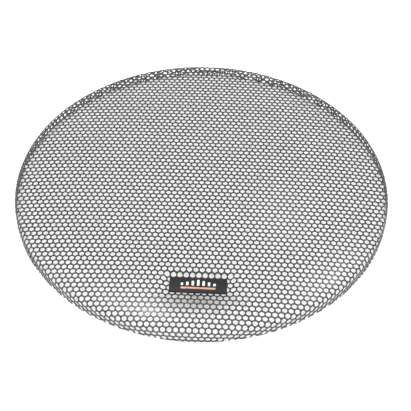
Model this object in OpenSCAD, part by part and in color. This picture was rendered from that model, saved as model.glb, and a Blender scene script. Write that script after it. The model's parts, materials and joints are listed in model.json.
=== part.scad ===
// Round speaker grille: a shallow domed dish pressed from perforated steel sheet,
// with a bent-down skirt and a nameplate held in a pressed pocket near its front edge.
// The origin is the centre of the skirt's bottom edge, +Z up, nameplate towards -Y.
// The sheet is drawn whole: its perforation is round holes at perf_pitch in staggered rows,
// far too many for separate bores, so only the two holes that the studs use are cut.

/* [Sheet] */
// Outside diameter of the skirt
outer_d = 160; // [150:1:175]
// Height of the crown above the skirt's bottom edge
grille_h = 9; // [8.6:0.1:9.6]
// Sheet thickness
sheet_t = 0.5; // [0.4:0.1:0.7]
// Outside radius of the bend between face and skirt
bend_r = 2.2; // [1.6:0.1:2.6]
// Dome radius over the middle of the face
crown_r = 1600; // [1400:50:2000]
// Dome radius of the shoulder around it
shoulder_r = 330; // [300:10:400]
// Distance from the axis at which the shoulder starts
shoulder_start = 50; // [45:1:52]

/* [Perforation] */
// Distance between the centres of neighbouring holes in a row
perf_pitch = 2.5; // [2.4:0.1:3]
// Diameter of a hole
perf_d = 2; // [1.9:0.1:2.1]
// Place of one hole near the axis, left to right: the rows run along X
perf_x = 0.2; // [0:0.1:0.4]
// Place of the same hole, front to back
perf_y = -3; // [-3.2:0.1:-2.8]

/* [Nameplate] */
// Width of the plate
plate_w = 22.6; // [20:0.2:24]
// Depth of the plate, front to back
plate_l = 7.2; // [6.6:0.2:7.6]
// Thickness of the plate
plate_t = 0.8; // [0.6:0.1:1]
// Corner radius of the plate
plate_r = 0.5; // [0.3:0.1:0.8]
// Place of the plate's centre, front to back
plate_y = -58.4; // [-58.8:0.1:-57.6]
// Clear floor of the pocket around the plate, each side
pocket_gap = 1.8; // [0.8:0.1:2]
// Height of the pocket's floor above the skirt's bottom edge
pocket_z = 6.9; // [6.7:0.1:7.1]
// Thickness of the adhesive foam pad under the plate
pad_t = 0.3; // [0.2:0.1:0.5]

/* [Marks] */
// Number of level bars
bar_count = 7; // [3:2:9]
// Width of a bar
bar_w = 0.9; // [0.6:0.1:1.1]
// Height of the tallest bar, along the plate's depth
bar_l = 2.8; // [2:0.1:3]
// Span of the bars and of the stripe
mark_span = 13.6; // [12:0.2:16]
// Width of the stripe, along the plate's depth
stripe_l = 0.9; // [0.6:0.1:1.1]
// Height of the marks above the plate
mark_t = 0.15; // [0.1:0.05:0.2]

/* [Fixing] */
// Stud diameter
stud_d = 1.6; // [1.4:0.1:1.7]
// Length of a stud below the plate
stud_h = 1.7; // [1.6:0.1:1.8]
// Whole hole pitches between each stud and the middle of the plate
stud_pitches = 3; // [2:1:3]
// Outside diameter of a push-on washer
washer_d = 4.4; // [4:0.1:5]
// Thickness of a push-on washer
washer_t = 0.4; // [0.3:0.1:0.5]

/* [Hidden] */

$fn = 48;
dish_fn = 180;
outer_r = outer_d / 2;
pad_inset = 0.6;
pad_z = pocket_z;
plate_z = pad_z + pad_t;
mark_z = plate_z + plate_t;
washer_z = pocket_z - sheet_t - washer_t;
stud_x = stud_pitches * perf_pitch;
// The studs stand in holes of the 25th row in front of the one through perf_y. Odd rows are
// shifted half a pitch, and the plate is centred on a hole of that row.
stud_row = 25;
stud_y = perf_y - stud_row * perf_pitch * sqrt(3) / 2;
plate_x = perf_x + perf_pitch / 2;
pocket_w = plate_w + 2 * pocket_gap;
pocket_l = plate_l + 2 * pocket_gap;
pocket_r = plate_r + pocket_gap;
bar_step = (mark_span - bar_w) / (bar_count - 1);
bar_base_y = -0.35;
stripe_y = -1.6;

// The section is three arcs that meet tangentially: crown, shoulder and bend.
// Each has a centre [r, z], and angles are measured from straight up.
crown_end = asin(shoulder_start / crown_r);
crown_c = [0, grille_h - crown_r];
shoulder_c = crown_c + (crown_r - shoulder_r) * [sin(crown_end), cos(crown_end)];
shoulder_end = asin((outer_r - bend_r - shoulder_c[0]) / (shoulder_r - bend_r));
bend_c = shoulder_c + (shoulder_r - bend_r) * [sin(shoulder_end), cos(shoulder_end)];

function arc(c, r, from, to, steps) =
    [for (k = [0 : steps]) let (a = from + (to - from) * k / steps) c + r * [sin(a), cos(a)]];
function reversed(list) = [for (k = [len(list) - 1 : -1 : 0]) list[k]];

// Face and bend section lines, drawn a distance "inset" under the outer surface
function face_line(inset) = concat(
    arc(crown_c, crown_r - inset, 0, crown_end, 8),
    arc(shoulder_c, shoulder_r - inset, crown_end, shoulder_end, 8));
function bend_line(inset) = arc(bend_c, bend_r - inset, shoulder_end, 90, 10);

module rounded_slab(w, l, h, r) {
    linear_extrude(h) {
        square([w - 2 * r, l], center = true);
        square([w, l - 2 * r], center = true);
        for (x = [-1, 1], y = [-1, 1])
            translate([x * (w / 2 - r), y * (l / 2 - r)]) circle(r = r);
    }
}

module at_plate(z) {
    translate([plate_x, plate_y, z]) children();
}

module at_studs(z) {
    for (side = [-1, 1])
        translate([plate_x + side * stud_x, stud_y, z]) children();
}

// Everything under the face's outer surface
module under_face() {
    edge = bend_c + bend_r * [sin(shoulder_end), cos(shoulder_end)];
    rotate_extrude($fn = dish_fn)
        polygon(concat(face_line(0), [[edge[0], 0], [0, 0]]));
}

module pocket_outside(h) {
    rounded_slab(pocket_w + 2 * sheet_t, pocket_l + 2 * sheet_t, h, pocket_r + sheet_t);
}

module pocket() {
    intersection() {
        under_face();
        difference() {
            at_plate(pocket_z - sheet_t) pocket_outside(grille_h);
            at_plate(pocket_z) rounded_slab(pocket_w, pocket_l, grille_h, pocket_r);
        }
    }
}

module grille_face() {
    color("#2a2b2d") difference() {
        union() {
            difference() {
                rotate_extrude($fn = dish_fn)
                    polygon(concat(face_line(0), reversed(face_line(sheet_t))));
                at_plate(0) pocket_outside(2 * grille_h);
            }
            pocket();
        }
        at_studs(0) cylinder(d = perf_d, h = grille_h);
    }
}

module grille_rim() {
    skirt_edge = [[outer_r, 0], [outer_r - sheet_t, 0]];
    color("#2a2b2d") rotate_extrude($fn = dish_fn)
        polygon(concat(bend_line(0), skirt_edge, reversed(bend_line(sheet_t))));
}

module badge_plate() {
    color("#1b1c1f") at_plate(plate_z) rounded_slab(plate_w, plate_l, plate_t, plate_r);
}

// Level bars, tallest in the middle
module badge_marks() {
    middle = (bar_count - 1) / 2;
    color("white") at_plate(mark_z)
        for (k = [0 : bar_count - 1])
            let (length = bar_l * (1 - 0.6 * abs(k - middle) / middle))
                translate([(k - middle) * bar_step - bar_w / 2, bar_base_y, 0])
                    cube([bar_w, length, mark_t]);
}

module badge_stripe() {
    color("#c9764f") at_plate(mark_z)
        translate([-mark_span / 2, stripe_y - stripe_l / 2, 0]) cube([mark_span, stripe_l, mark_t]);
}

module badge_pad() {
    color("#3c3a38") difference() {
        at_plate(pad_z) rounded_slab(plate_w - 2 * pad_inset, plate_l - 2 * pad_inset, pad_t, plate_r);
        at_studs(0) cylinder(d = perf_d, h = grille_h);
    }
}

module badge_studs() {
    color("silver") at_studs(plate_z - stud_h) cylinder(d = stud_d, h = stud_h);
}

module stud_washers() {
    color("gainsboro") at_studs(washer_z) difference() {
        cylinder(d = washer_d, h = washer_t);
        translate([0, 0, -washer_t]) cylinder(d = stud_d, h = 3 * washer_t);
    }
}

grille_face();
grille_rim();
badge_plate();
badge_marks();
badge_stripe();
badge_pad();
badge_studs();
stud_washers();
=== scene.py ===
"""Round perforated speaker grille with a nameplate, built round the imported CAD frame.

Everything is in metres in the CAD model's frame: the origin is the centre of the skirt's bottom
edge, +Z up, rows of holes along X, and the nameplate towards -Y.
"""

import json
import math

import bmesh
import bpy
import numpy as np
from mathutils import Matrix, Vector


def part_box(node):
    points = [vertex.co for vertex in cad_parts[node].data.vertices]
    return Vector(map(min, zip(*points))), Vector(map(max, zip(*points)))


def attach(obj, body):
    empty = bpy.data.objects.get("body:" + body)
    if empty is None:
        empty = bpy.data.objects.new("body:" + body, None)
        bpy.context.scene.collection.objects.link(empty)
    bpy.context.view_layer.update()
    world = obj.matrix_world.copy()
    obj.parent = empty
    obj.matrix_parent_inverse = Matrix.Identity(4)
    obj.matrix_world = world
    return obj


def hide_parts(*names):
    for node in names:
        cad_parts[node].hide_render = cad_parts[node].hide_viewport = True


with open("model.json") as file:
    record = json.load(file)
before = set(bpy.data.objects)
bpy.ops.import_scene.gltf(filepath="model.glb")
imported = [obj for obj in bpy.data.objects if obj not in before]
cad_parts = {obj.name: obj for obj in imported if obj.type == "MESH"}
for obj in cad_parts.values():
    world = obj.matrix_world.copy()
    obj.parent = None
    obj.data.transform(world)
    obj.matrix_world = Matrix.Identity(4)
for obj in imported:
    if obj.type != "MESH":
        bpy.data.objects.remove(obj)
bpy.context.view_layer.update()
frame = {"record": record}

MM = 0.001
BODY = "root"

# ---------------------------------------------------------------- sizes from the CAD frame


def box_corners(node):
    low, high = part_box(node)
    return Vector(low), Vector(high)


mounts = {m["name"]: m for m in frame["record"]["mounts"]}
OUTER_R = mounts["rim_outside"]["dims"]["r_mm"] * MM
SHEET_T = OUTER_R - mounts["rim_bore"]["dims"]["r_mm"] * MM
GRILLE_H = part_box("grille_face")[1][2]

plate_low, plate_high = box_corners("badge_plate")
pad_low, pad_high = box_corners("badge_pad")
stud_low, stud_high = box_corners("badge_studs")
washer_low, washer_high = box_corners("stud_washers")
marks_low, marks_high = box_corners("badge_marks")
stripe_low, stripe_high = box_corners("badge_stripe")

plate_mid = (plate_low + plate_high) / 2
plate_w, plate_l, _ = plate_high - plate_low

# ---------------------------------------------------------------- the sheet's own sizes

# The dish's section is three tangent arcs, as in the CAD model
CROWN_R = 1600 * MM
SHOULDER_R = 330 * MM
SHOULDER_START = 50 * MM
BEND_R = 2.2 * MM

# Perforation: round holes in staggered rows
PITCH = 2.5 * MM
HOLE_R = 1.0 * MM
HOLE_SIDES = 12
LATTICE_X = 0.2 * MM        # place of one hole near the axis
LATTICE_Y = -3.0 * MM
EDGE_INSET = 0.09 * MM      # width of the rounding round a hole, on the upper side
EDGE_DROP = 0.12 * MM       # how far the upper side falls away at a punched edge
UNDER_DROP = 0.15 * MM      # the same for the underside
WELD_STEPS = 2e7            # grid steps to the metre on which neighbouring cells' points are joined
CUT_REACH = 1e-7            # points this near the blank's outline lie on its cut edge

# The pocket pressed into the face for the nameplate
POCKET_Z = pad_low[2]
POCKET_GAP = 1.5 * MM       # floor round the plate, each side
POCKET_WALL = 2.6 * MM      # width of its soft wall
POCKET_CORNER = 2.4 * MM

# ---------------------------------------------------------------- the small pieces' own sizes

CORNER_STEPS = 8            # segments in a rounded corner, seen from above
ROUND_SIDES = 40            # sides of a stud or of a hole in the foam
LEAST_CORNER = 0.02 * MM
SHARP_DEGREES = 35          # edges that turn further than this are shaded sharp

PLATE_CORNER = 0.5 * MM
PLATE_EDGE_BELOW = 0.05 * MM
PLATE_EDGE_ABOVE = 0.18 * MM

BAR_COUNT = 7
BAR_W = 0.9 * MM
BAR_CORNER = 0.2 * MM
BAR_LOW_SHARE = 0.4         # height of the outermost bars, as a share of the middle one's
STRIPE_CORNER = 0.12 * MM
MARK_EDGE = 0.06 * MM       # rounding of the bars' and the stripe's upper edges
MARK_EDGE_STEPS = 3

PAD_CORNER = 0.5 * MM
PAD_LAYERS = 6
PAD_BULGE = 0.07 * MM       # how far the sides swell at half height
PAD_INSET = 0.03 * MM       # how far they stand back at the top and bottom
SAME_HEIGHT = 0.001 * MM

# Shares of the stud's radius with heights above its tip, and with depths under the plate
STUD_TIP = ((0.62, 0), (0.80, 0.06 * MM), (0.97, 0.26 * MM), (1.0, 0.32 * MM))
STUD_NECK = ((1.0, 0.14 * MM), (1.03, 0.06 * MM), (1.12, 0))

TONGUES = 6
TONGUE_STEPS = 12           # columns to a tongue and the slot beside it
SLOT_STEPS = (0, 1)         # which of them are the slot
SLOT_SHARE = 0.56           # radius of a slot's end, as a share of the washer's
ROOT_SHARE = 0.64           # radius at which the tongues bend down
WASHER_T = 0.18 * MM
WASHER_EDGE = 0.05 * MM

TABLE_REACH = 3.0

# ---------------------------------------------------------------- camera and light

CAMERA_AZIMUTH = 2.23
CAMERA_ELEVATION = 46.49
CAMERA_ROLL = 0.53
CAMERA_DISTANCE = 419.6 * MM
CAMERA_AIM = Vector((2.4 * MM, -16.6 * MM, GRILLE_H))
CAMERA_LENS = 88.1
CAMERA_SENSOR = 36
CAMERA_CLIP = 0.01

SKY_STRENGTH = 0.75
MIDDLE = (0, 0, 0)

# Area lamps: name, place, width and depth, watts, and the point they are aimed at. The glints whiten
# the webs near the bend at the front left and right, and the glows leave a faint patch to the left
# and right of the middle.
LAMPS = (
    ("light_top", (0, 0, 1.0), (1.2, 1.2), 3.5, MIDDLE),
    ("light_left", (-0.62, -0.05, 0.6), (0.3, 0.3), 2.05, MIDDLE),
    ("light_right", (0.62, -0.05, 0.6), (0.3, 0.3), 2.05, MIDDLE),
    ("light_front", (0, -0.75, 0.5), (0.7, 0.3), 3.4, (0, -0.2, 0)),
    ("glint_left", (-0.175, 0.29, 0.815), (0.17, 0.04), 0.7, MIDDLE),
    ("glint_right", (0.29, 0.375, 0.76), (0.07, 0.07), 0.7, MIDDLE),
    ("glow_left", (-0.13, 0.566, 0.68), (0.12, 0.12), 0.05, MIDDLE),
    ("glow_right", (0.108, 0.566, 0.684), (0.12, 0.12), 0.1, MIDDLE),
)


def make_camera():
    a, e, roll = (math.radians(v) for v in (CAMERA_AZIMUTH, CAMERA_ELEVATION, CAMERA_ROLL))
    back = Vector((math.sin(a) * math.cos(e), -math.cos(a) * math.cos(e), math.sin(e)))
    right = Vector((math.cos(a), math.sin(a), 0))
    up = back.cross(right)
    x_axis = math.cos(roll) * right + math.sin(roll) * up
    y_axis = math.cos(roll) * up - math.sin(roll) * right
    camera = bpy.data.objects.new("camera", bpy.data.cameras.new("camera"))
    camera.data.lens = CAMERA_LENS
    camera.data.sensor_width = CAMERA_SENSOR
    camera.data.clip_start = CAMERA_CLIP
    place = Matrix((x_axis, y_axis, back)).transposed().to_4x4()
    place.translation = CAMERA_AIM + back * CAMERA_DISTANCE
    camera.matrix_world = place
    bpy.context.scene.collection.objects.link(camera)
    bpy.context.scene.camera = camera


def make_lamp(name, place, size, watts, aim):
    light = bpy.data.lights.new(name, "AREA")
    light.shape = "RECTANGLE"
    light.size, light.size_y = size
    light.energy = watts
    lamp = bpy.data.objects.new(name, light)
    lamp.location = place
    lamp.rotation_euler = (Vector(aim) - Vector(place)).to_track_quat("-Z", "Y").to_euler()
    bpy.context.scene.collection.objects.link(lamp)


def make_studio():
    world = bpy.data.worlds.new("studio")
    bpy.context.scene.world = world
    world.use_nodes = True
    sky = world.node_tree.nodes["Background"]
    sky.inputs["Color"].default_value = (1, 1, 1, 1)
    sky.inputs["Strength"].default_value = SKY_STRENGTH
    for lamp in LAMPS:
        make_lamp(*lamp)


# ---------------------------------------------------------------- node materials

def new_material(name, plain):
    """A node material whose Base Color socket holds the plain colour under what is linked to it."""
    material = bpy.data.materials.new(name)
    material.use_nodes = True
    material.diffuse_color = (*plain, 1)
    tree = material.node_tree
    shader = tree.nodes["Principled BSDF"]
    shader.inputs["Base Color"].default_value = (*plain, 1)
    return material, tree, shader


def add_node(tree, kind, **values):
    """A node with the given settings and socket values. In a name, _ stands for a socket's space."""
    node = tree.nodes.new(kind)
    for key, value in values.items():
        if hasattr(node, key):
            setattr(node, key, value)
        else:
            node.inputs[key.replace("_", " ")].default_value = value
    return node


def coordinates(tree, scale=(1, 1, 1)):
    source = add_node(tree, "ShaderNodeTexCoord")
    mapping = add_node(tree, "ShaderNodeMapping", Scale=scale)
    tree.links.new(source.outputs["Object"], mapping.inputs["Vector"])
    return mapping.outputs["Vector"]


def noise(tree, vector, scale, detail):
    node = add_node(tree, "ShaderNodeTexNoise", Scale=scale, Detail=detail)
    tree.links.new(vector, node.inputs["Vector"])
    return node.outputs["Fac"]


def ramp(tree, factor, *stops):
    """A colour ramp with (position, colour) stops."""
    node = add_node(tree, "ShaderNodeValToRGB")
    while len(node.color_ramp.elements) < len(stops):
        node.color_ramp.elements.new(0.5)
    for element, (position, colour) in zip(node.color_ramp.elements, stops):
        element.position = position
        element.color = (*colour, 1)
    tree.links.new(factor, node.inputs["Fac"])
    return node.outputs["Color"]


def remap(tree, factor, low, high):
    node = add_node(tree, "ShaderNodeMapRange", To_Min=low, To_Max=high)
    tree.links.new(factor, node.inputs["Value"])
    return node.outputs["Result"]


def bump(tree, shader, height, distance, strength):
    node = add_node(tree, "ShaderNodeBump", Distance=distance, Strength=strength)
    tree.links.new(height, node.inputs["Height"])
    tree.links.new(node.outputs["Normal"], shader.inputs["Normal"])


def mix_colour(tree, factor, from_socket, to_plain):
    node = add_node(tree, "ShaderNodeMix", data_type="RGBA")
    tree.links.new(factor, node.inputs["Factor"])
    tree.links.new(from_socket, node.inputs["A"])
    node.inputs["B"].default_value = (*to_plain, 1)
    return node.outputs["Result"]


def black_coat():
    """Semi-gloss black coating on steel: orange peel, dust in places, and thin paint on the
    punched edges, which the mesh marks with the attribute "edge"."""
    material, tree, shader = new_material("black_coat", (0.02, 0.02, 0.02))
    place = coordinates(tree)
    cloud = noise(tree, place, scale=45, detail=4)
    paint = ramp(tree, cloud, (0.3, (0.012, 0.012, 0.012)), (0.7, (0.022, 0.022, 0.021)))
    patches = remap(tree, noise(tree, place, scale=700, detail=2), low=0, high=0.7)
    edge = add_node(tree, "ShaderNodeAttribute", attribute_name="edge")
    worn = add_node(tree, "ShaderNodeMath", operation="MULTIPLY")
    tree.links.new(edge.outputs["Fac"], worn.inputs[0])
    tree.links.new(patches, worn.inputs[1])
    colour = mix_colour(tree, worn.outputs[0], paint, (0.085, 0.085, 0.082))
    tree.links.new(colour, shader.inputs["Base Color"])
    gloss = remap(tree, noise(tree, place, scale=260, detail=3), low=0.20, high=0.32)
    tree.links.new(gloss, shader.inputs["Roughness"])
    shader.inputs["Specular IOR Level"].default_value = 0.5
    shader.inputs["Coat Weight"].default_value = 0.35
    shader.inputs["Coat Roughness"].default_value = 0.12
    orange_peel = noise(tree, place, scale=2600, detail=2)
    bump(tree, shader, orange_peel, distance=0.03 * MM, strength=0.35)
    return material


def anodised():
    """Black anodised aluminium with a fine brushed grain along X."""
    material, tree, shader = new_material("black_anodised", (0.014, 0.014, 0.015))
    grain = noise(tree, coordinates(tree, (60, 5200, 300)), scale=1, detail=4)
    shade = ramp(tree, grain, (0.3, (0.008, 0.008, 0.009)), (0.7, (0.020, 0.020, 0.022)))
    tree.links.new(shade, shader.inputs["Base Color"])
    tree.links.new(remap(tree, grain, low=0.30, high=0.46), shader.inputs["Roughness"])
    shader.inputs["Metallic"].default_value = 0.5
    shader.inputs["Specular IOR Level"].default_value = 0.4
    bump(tree, shader, grain, distance=0.01 * MM, strength=0.25)
    return material


def enamel():
    """White printed enamel, a little uneven."""
    material, tree, shader = new_material("white_enamel", (0.86, 0.86, 0.86))
    cloud = noise(tree, coordinates(tree), scale=900, detail=2)
    tint = ramp(tree, cloud, (0.2, (0.82, 0.82, 0.81)), (0.8, (0.90, 0.90, 0.90)))
    tree.links.new(tint, shader.inputs["Base Color"])
    shader.inputs["Roughness"].default_value = 0.3
    bump(tree, shader, cloud, distance=0.01 * MM, strength=0.2)
    return material


def copper_foil():
    """Copper-coloured hot foil with a fine cross grain."""
    material, tree, shader = new_material("copper_foil", (0.56, 0.3, 0.21))
    grain = noise(tree, coordinates(tree, (2600, 300, 300)), scale=1, detail=3)
    tint = ramp(tree, grain, (0.25, (0.46, 0.21, 0.13)), (0.75, (0.66, 0.38, 0.28)))
    tree.links.new(tint, shader.inputs["Base Color"])
    tree.links.new(remap(tree, grain, low=0.28, high=0.45), shader.inputs["Roughness"])
    shader.inputs["Metallic"].default_value = 0.7
    bump(tree, shader, grain, distance=0.01 * MM, strength=0.2)
    return material


def foam():
    """Dark closed-cell foam, painted darker in the pits of its cells as painted shade."""
    material, tree, shader = new_material("foam_pad", (0.09, 0.085, 0.08))
    cells = add_node(tree, "ShaderNodeTexVoronoi", Scale=4200)
    tree.links.new(coordinates(tree), cells.inputs["Vector"])
    depth = cells.outputs["Distance"]
    # Painted shade: the colour runs from near black at the bottom of each cell pit to the foam's grey at
    # its rim.
    tint = ramp(tree, depth, (0, (0.030, 0.028, 0.026)), (0.7, (0.13, 0.12, 0.11)))
    tree.links.new(tint, shader.inputs["Base Color"])
    shader.inputs["Roughness"].default_value = 0.9
    bump(tree, shader, depth, distance=0.08 * MM, strength=0.6)
    return material


def zinc():
    """Bright zinc plate with a faint cloudy passivation."""
    material, tree, shader = new_material("zinc_plate", (0.56, 0.56, 0.55))
    cloud = noise(tree, coordinates(tree), scale=800, detail=4)
    tint = ramp(tree, cloud, (0.3, (0.46, 0.46, 0.47)), (0.7, (0.66, 0.65, 0.62)))
    tree.links.new(tint, shader.inputs["Base Color"])
    tree.links.new(remap(tree, cloud, low=0.22, high=0.42), shader.inputs["Roughness"])
    shader.inputs["Metallic"].default_value = 1
    return material


def white_table():
    """A white studio table that glows a little, so that it stays white under the grille."""
    material, tree, shader = new_material("white_table", (0.95, 0.95, 0.95))
    cloud = noise(tree, coordinates(tree), scale=3, detail=2)
    tint = ramp(tree, cloud, (0, (0.93, 0.93, 0.93)), (1, (0.96, 0.96, 0.96)))
    tree.links.new(tint, shader.inputs["Base Color"])
    shader.inputs["Roughness"].default_value = 0.5
    shader.inputs["Emission Color"].default_value = (1, 1, 1, 1)
    shader.inputs["Emission Strength"].default_value = 0.13
    return material


# ---------------------------------------------------------------- the dish's section

def towards(angle):
    """The direction in the section at an angle from straight up, as distance from the axis and height."""
    return np.array((math.sin(angle), math.cos(angle)))


HALF_T = SHEET_T / 2
crown_end = math.asin(SHOULDER_START / CROWN_R)
crown_c = np.array((0, GRILLE_H - CROWN_R))
shoulder_c = crown_c + (CROWN_R - SHOULDER_R) * towards(crown_end)
shoulder_end = math.asin((OUTER_R - BEND_R - shoulder_c[0]) / (SHOULDER_R - BEND_R))
bend_c = shoulder_c + (SHOULDER_R - BEND_R) * towards(shoulder_end)

# Lengths along the middle of the sheet, from the axis outwards
CROWN_S = (CROWN_R - HALF_T) * crown_end
SHOULDER_S = CROWN_S + (SHOULDER_R - HALF_T) * (shoulder_end - crown_end)
BEND_S = SHOULDER_S + (BEND_R - HALF_T) * (math.pi / 2 - shoulder_end)
BLANK_R = BEND_S + bend_c[1]


def section(s):
    """Distance from the axis, height and tilt of the sheet's middle, s along it from the axis."""
    tilt = np.where(
        s < CROWN_S, s / (CROWN_R - HALF_T),
        np.where(s < SHOULDER_S, crown_end + (s - CROWN_S) / (SHOULDER_R - HALF_T),
                 shoulder_end + (s - SHOULDER_S) / (BEND_R - HALF_T)))
    tilt = np.minimum(tilt, math.pi / 2)
    radius = np.where(s < CROWN_S, CROWN_R, np.where(s < SHOULDER_S, SHOULDER_R, BEND_R)) - HALF_T
    centre_r = np.where(s < CROWN_S, 0, np.where(s < SHOULDER_S, shoulder_c[0], bend_c[0]))
    centre_z = np.where(s < CROWN_S, crown_c[1], np.where(s < SHOULDER_S, shoulder_c[1], bend_c[1]))
    down = np.maximum(s - BEND_S, 0)
    return centre_r + radius * np.sin(tilt), centre_z + radius * np.cos(tilt) - down, tilt


def pocket_weight(x, y):
    """1 on the pocket's floor, falling softly to 0 outside its wall."""
    half_w = plate_w / 2 + POCKET_GAP - POCKET_CORNER
    half_l = plate_l / 2 + POCKET_GAP - POCKET_CORNER
    dx = np.maximum(abs(x - plate_mid[0]) - half_w, 0)
    dy = np.maximum(abs(y - plate_mid[1]) - half_l, 0)
    out = np.clip((np.hypot(dx, dy) - POCKET_CORNER) / POCKET_WALL, 0, 1)
    return 1 - out * out * (3 - 2 * out)


def form(flat, lift):
    """Where a point of the flat blank lands on the pressed sheet, lift above the sheet's middle."""
    s = np.hypot(flat[:, 0], flat[:, 1])
    turn = np.arctan2(flat[:, 1], flat[:, 0])
    r, z, tilt = section(s)
    r = r + lift * np.sin(tilt)
    top = z + lift * np.cos(tilt)
    x, y = r * np.cos(turn), r * np.sin(turn)
    floor = POCKET_Z - HALF_T + lift
    return np.stack((x, y, top + (floor - top) * pocket_weight(x, y)), 1)


# ---------------------------------------------------------------- the perforated sheet

def clip_to_blank(polygon):
    """The part of a flat polygon inside the blank's round outline."""
    kept = []
    for a, b in zip(polygon, polygon[1:] + polygon[:1]):
        a_in, b_in = math.hypot(*a) <= BLANK_R, math.hypot(*b) <= BLANK_R
        if a_in:
            kept.append(a)
        if a_in != b_in:
            inner, outer = (a, b) if a_in else (b, a)
            dx, dy = outer[0] - inner[0], outer[1] - inner[1]
            p = inner[0] * dx + inner[1] * dy
            q = dx * dx + dy * dy
            t = (-p + math.sqrt(p * p - q * (inner[0] ** 2 + inner[1] ** 2 - BLANK_R ** 2))) / q
            kept.append((inner[0] + t * dx, inner[1] + t * dy))
    return kept


def ring(radius, count, first_degrees=0):
    """Points round the origin, evenly spaced."""
    start = math.radians(first_degrees)
    turns = [start + k * (2 * math.pi / count) for k in range(count)]
    return [(radius * math.cos(turn), radius * math.sin(turn)) for turn in turns]


def web_faces(inner):
    """Faces between a lattice cell's hexagon, halved sides and all, and a ring of points in it."""
    corner = ring(PITCH / math.sqrt(3), 6, first_degrees=30)
    middle = ring(PITCH / 2, 6)
    per_side = len(inner) // 6
    faces = []
    for k in range(6):
        first = per_side * k
        faces.append((corner[k - 1], middle[k], inner[first]))
        faces.append((middle[k], corner[k], inner[first]))
        for i in range(first, first + per_side):
            faces.append((corner[k], inner[(i + 1) % len(inner)], inner[i]))
    return faces


def flat_sheet():
    """The flat perforated blank: its points, which of them lie on a cut edge, the flat-topped
    webs' faces, the other faces of its upper side, and the faces of its underside."""
    row = PITCH * math.sqrt(3) / 2
    reach = int(BLANK_R / row) + 3
    hole, rim = ring(HOLE_R, HOLE_SIDES), ring(HOLE_R + EDGE_INSET, HOLE_SIDES)
    web = web_faces(rim)
    rounding = [(rim[k - 1], rim[k], hole[k], hole[k - 1]) for k in range(HOLE_SIDES)]
    under = web_faces(hole)
    index, points, cut = {}, [], []
    upper, flat_upper, lower = [], [], []

    def add(polygons, centre, clip, *lists):
        for polygon in polygons:
            polygon = [(centre[0] + x, centre[1] + y) for x, y in polygon]
            if clip:
                polygon = clip_to_blank(polygon)
            ids = []
            for x, y in polygon:
                key = (round(x * WELD_STEPS), round(y * WELD_STEPS))
                if key not in index:
                    index[key] = len(points)
                    points.append((x, y))
                    from_hole = math.hypot(x - centre[0], y - centre[1]) < HOLE_R + EDGE_INSET / 2
                    cut.append(from_hole or math.hypot(x, y) > BLANK_R - CUT_REACH)
                if index[key] not in ids:
                    ids.append(index[key])
            if len(ids) > 2:
                for faces in lists:
                    faces.append(ids)

    for j in range(-reach, reach + 1):
        for i in range(-reach, reach + 1):
            centre = LATTICE_X + (i + 0.5 * (j % 2)) * PITCH, LATTICE_Y + j * row
            distance = math.hypot(*centre)
            if distance < BLANK_R - PITCH:
                add(web, centre, False, flat_upper if distance < SHOULDER_S - PITCH else upper)
                add(rounding, centre, False, upper)
                add(under, centre, False, lower)
            elif distance < BLANK_R + PITCH:
                add(web + rounding, centre, True, upper, lower)
    return np.array(points), np.array(cut), flat_upper, upper, lower


def largest_part(count, faces):
    """Which points belong to the largest connected part: the others are crumbs at the cut edge."""
    parent = list(range(count))

    def root(k):
        while parent[k] != k:
            parent[k] = parent[parent[k]]
            k = parent[k]
        return k

    for face in faces:
        for k in face[1:]:
            parent[root(k)] = root(face[0])
    roots = np.array([root(k) for k in range(count)])
    return roots == np.bincount(roots).argmax()


def make_sheet():
    """The whole pressed sheet as one mesh: both sides of the flat blank, joined round every hole
    and along the bottom edge, then bent into the dish."""
    flat, cut, flat_upper, upper, lower = flat_sheet()
    count = len(flat)
    kept = largest_part(count, flat_upper + upper)
    flat_upper, upper, lower = ([face for face in faces if kept[face[0]]]
                                for faces in (flat_upper, upper, lower))
    edges = {(a, b) for face in flat_upper + upper for a, b in zip(face, face[1:] + face[:1])}
    border = [(a, b) for a, b in edges if (b, a) not in edges]
    points = np.concatenate((form(flat, HALF_T - EDGE_DROP * cut),
                             form(flat, UNDER_DROP * cut - HALF_T)))
    faces = (flat_upper + upper + [[k + count for k in reversed(face)] for face in lower]
             + [[b, a, a + count, b + count] for a, b in sorted(border)])
    used = np.zeros(2 * count, bool)
    used[[k for face in faces for k in face]] = True
    renumber = np.cumsum(used) - 1
    mesh = bpy.data.meshes.new("grille_sheet")
    mesh.from_pydata(points[used].tolist(), [], [[int(renumber[k]) for k in face] for face in faces])
    attribute = mesh.attributes.new("edge", "FLOAT", "POINT")
    attribute.data.foreach_set("value", np.concatenate((cut, cut))[used].astype(float))
    smooth = np.arange(len(faces)) >= len(flat_upper)
    mesh.polygons.foreach_set("use_smooth", smooth)
    mesh.validate()
    add_piece("grille_sheet", mesh, black_coat(), "grille", "grille_face", "grille_rim")


# ---------------------------------------------------------------- pieces

def add_piece(name, mesh, material, slot, *replaced):
    piece = bpy.data.objects.new(name, mesh)
    bpy.context.scene.collection.objects.link(piece)
    mesh.materials.append(material)
    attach(piece, BODY)
    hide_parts(*replaced)


def rounded_outline(w, l, r):
    """A rectangle with round corners, as points anticlockwise round the origin."""
    points = []
    for k, (sx, sy) in enumerate(((1, 1), (-1, 1), (-1, -1), (1, -1))):
        for i in range(CORNER_STEPS + 1):
            a = math.radians(90 * k + 90 * i / CORNER_STEPS)
            points.append((sx * (w / 2 - r) + r * math.cos(a), sy * (l / 2 - r) + r * math.sin(a)))
    return points


def circle_ring(centre, radius, z):
    return [(centre[0] + x, centre[1] + y, z) for x, y in ring(radius, ROUND_SIDES)]


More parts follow.
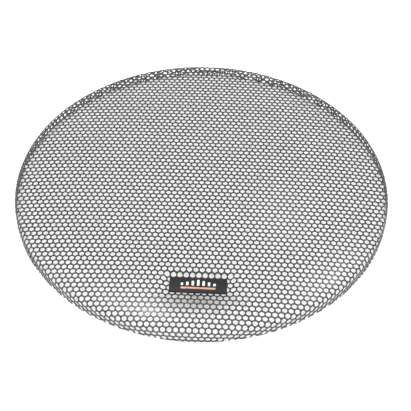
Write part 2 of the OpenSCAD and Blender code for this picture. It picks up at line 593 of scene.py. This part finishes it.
def slab_rings(centre, w, l, r, low, high, edge_below, edge_above, steps=4):
    """Rings of a rounded slab whose bottom and top edges are rounded over."""
    turns = [math.pi / 2 * k / steps for k in range(steps + 1)]
    profile = [(edge_below * (1 - math.sin(a)), low + edge_below * (1 - math.cos(a))) for a in turns]
    profile += [(edge_above * (1 - math.cos(a)), high - edge_above * (1 - math.sin(a))) for a in turns]
    rings = []
    for inset, z in profile:
        outline = rounded_outline(w - 2 * inset, l - 2 * inset, max(r - inset, LEAST_CORNER))
        rings.append([(centre[0] + x, centre[1] + y, z) for x, y in outline])
    return rings


def lofted(builder, rings, cap=True):
    """Skins rings of equal point counts, lowest first, and closes both ends if cap is true."""
    layers = [[builder.verts.new(point) for point in points] for points in rings]
    count = len(rings[0])
    for low, high in zip(layers, layers[1:]):
        for k in range(count):
            n = (k + 1) % count
            builder.faces.new((low[k], low[n], high[n], high[k]))
    if cap:
        builder.faces.new(list(reversed(layers[0])))
        builder.faces.new(layers[-1])


def finish_mesh(name, builder):
    mesh = bpy.data.meshes.new(name)
    bmesh.ops.recalc_face_normals(builder, faces=builder.faces)
    builder.to_mesh(mesh)
    builder.free()
    mesh.shade_smooth()
    mesh.set_sharp_from_angle(angle=math.radians(SHARP_DEGREES))
    return mesh


def make_plate():
    builder = bmesh.new()
    lofted(builder, slab_rings(plate_mid, plate_w, plate_l, PLATE_CORNER,
                               plate_low[2], plate_high[2], PLATE_EDGE_BELOW, PLATE_EDGE_ABOVE))
    add_piece("badge_plate_body", finish_mesh("badge_plate_body", builder), anodised(),
              "badge", "badge_plate")


def make_marks():
    """Level bars with rounded corners, tallest in the middle, in the CAD bars' places."""
    span = marks_high[0] - marks_low[0]
    longest = marks_high[1] - marks_low[1]
    step = (span - BAR_W) / (BAR_COUNT - 1)
    middle = (BAR_COUNT - 1) / 2
    builder = bmesh.new()
    for k in range(BAR_COUNT):
        length = longest * (1 - (1 - BAR_LOW_SHARE) * abs(k - middle) / middle)
        centre = (marks_low[0] + BAR_W / 2 + k * step, marks_low[1] + length / 2)
        lofted(builder, slab_rings(centre, BAR_W, length, BAR_CORNER,
                                   marks_low[2], marks_high[2], 0, MARK_EDGE, MARK_EDGE_STEPS))
    add_piece("badge_level_bars", finish_mesh("badge_level_bars", builder), enamel(),
              "badge_mark", "badge_marks")


def make_stripe():
    mid = (stripe_low + stripe_high) / 2
    w, l, _ = stripe_high - stripe_low
    builder = bmesh.new()
    lofted(builder, slab_rings(mid, w, l, STRIPE_CORNER,
                               stripe_low[2], stripe_high[2], 0, MARK_EDGE, MARK_EDGE_STEPS))
    add_piece("badge_copper_stripe", finish_mesh("badge_copper_stripe", builder), copper_foil(),
              "badge_stripe", "badge_stripe")


def stud_centres():
    """The CAD studs' centres, in the left and right end of their box, and their radius."""
    y = (stud_low[1] + stud_high[1]) / 2
    stud_r = (stud_high[1] - stud_low[1]) / 2
    return [(stud_low[0] + stud_r, y), (stud_high[0] - stud_r, y)], stud_r


def make_pad():
    """Die-cut foam with a hole for each stud, whose sides bulge a little under the plate."""
    mid = (pad_low + pad_high) / 2
    w, l, h = pad_high - pad_low
    centres, _ = stud_centres()
    outside, bores = [], [[] for _ in centres]
    for k in range(PAD_LAYERS + 1):
        share = k / PAD_LAYERS
        z = pad_low[2] + share * h
        bulge = PAD_BULGE * math.sin(math.pi * share) - PAD_INSET
        outline = rounded_outline(w + 2 * bulge, l + 2 * bulge, PAD_CORNER + bulge)
        outside.append([(mid[0] + x, mid[1] + y, z) for x, y in outline])
        for bore, centre in zip(bores, centres):
            bore.append(circle_ring(centre, HOLE_R, z))
    builder = bmesh.new()
    for wall in (outside, *bores):
        lofted(builder, wall, cap=False)
    for z in (pad_low[2], pad_high[2]):
        rim = [edge for edge in builder.edges
               if edge.is_boundary and all(abs(vert.co.z - z) < SAME_HEIGHT for vert in edge.verts)]
        bmesh.ops.triangle_fill(builder, edges=rim, use_beauty=True)
    add_piece("badge_foam_pad", finish_mesh("badge_foam_pad", builder), foam(),
              "foam_pad", "badge_pad")


def make_studs(material):
    """Two studs with chamfered tips and a small fillet under the plate."""
    centres, r = stud_centres()
    profile = [(share * r, stud_low[2] + up) for share, up in STUD_TIP]
    profile += [(share * r, stud_high[2] - down) for share, down in STUD_NECK]
    builder = bmesh.new()
    for centre in centres:
        lofted(builder, [circle_ring(centre, radius, z) for radius, z in profile])
    add_piece("badge_stud_pair", finish_mesh("badge_stud_pair", builder), material,
              "fixing", "badge_studs")


def make_washers(material):
    """Push-on washers: a flat rim and six tongues bent down to grip the stud."""
    centres, stud_r = stud_centres()
    outer_r = (washer_high[1] - washer_low[1]) / 2
    low, high = washer_low[2], washer_high[2]
    slot_r, root_r = SLOT_SHARE * outer_r, ROOT_SHARE * outer_r
    columns_round = TONGUES * TONGUE_STEPS
    builder = bmesh.new()
    for centre in centres:
        columns = []
        for k in range(columns_round):
            in_slot = k % TONGUE_STEPS in SLOT_STEPS
            tip_r = slot_r if in_slot else stud_r
            dip = 0 if in_slot else high - low - WASHER_T
            line = ((outer_r - WASHER_EDGE, high), (root_r, high), (tip_r, high - dip),
                    (tip_r, high - dip - WASHER_T), (root_r, high - WASHER_T),
                    (outer_r - WASHER_EDGE, high - WASHER_T), (outer_r, high - WASHER_T / 2))
            turn = 2 * math.pi * k / columns_round
            columns.append([builder.verts.new((centre[0] + r * math.cos(turn),
                                               centre[1] + r * math.sin(turn), z)) for r, z in line])
        for a, b in zip(columns, columns[1:] + columns[:1]):
            for k in range(len(a)):
                n = (k + 1) % len(a)
                builder.faces.new((a[k], a[n], b[n], b[k]))
    add_piece("push_on_washers", finish_mesh("push_on_washers", builder), material,
              "fixing", "stud_washers")


def make_table():
    mesh = bpy.data.meshes.new("floor")
    corners = [(x * TABLE_REACH, y * TABLE_REACH, 0) for x, y in ((-1, -1), (1, -1), (1, 1), (-1, 1))]
    mesh.from_pydata(corners, [], [(0, 1, 2, 3)])
    mesh.materials.append(white_table())
    floor = bpy.data.objects.new("floor", mesh)
    bpy.context.scene.collection.objects.link(floor)


def make_all():
    make_camera()
    make_studio()
    make_sheet()
    make_plate()
    make_marks()
    make_stripe()
    make_pad()
    zinc_plate = zinc()
    make_studs(zinc_plate)
    make_washers(zinc_plate)
    make_table()


make_all()
bpy.context.scene.view_settings.view_transform = "Standard"
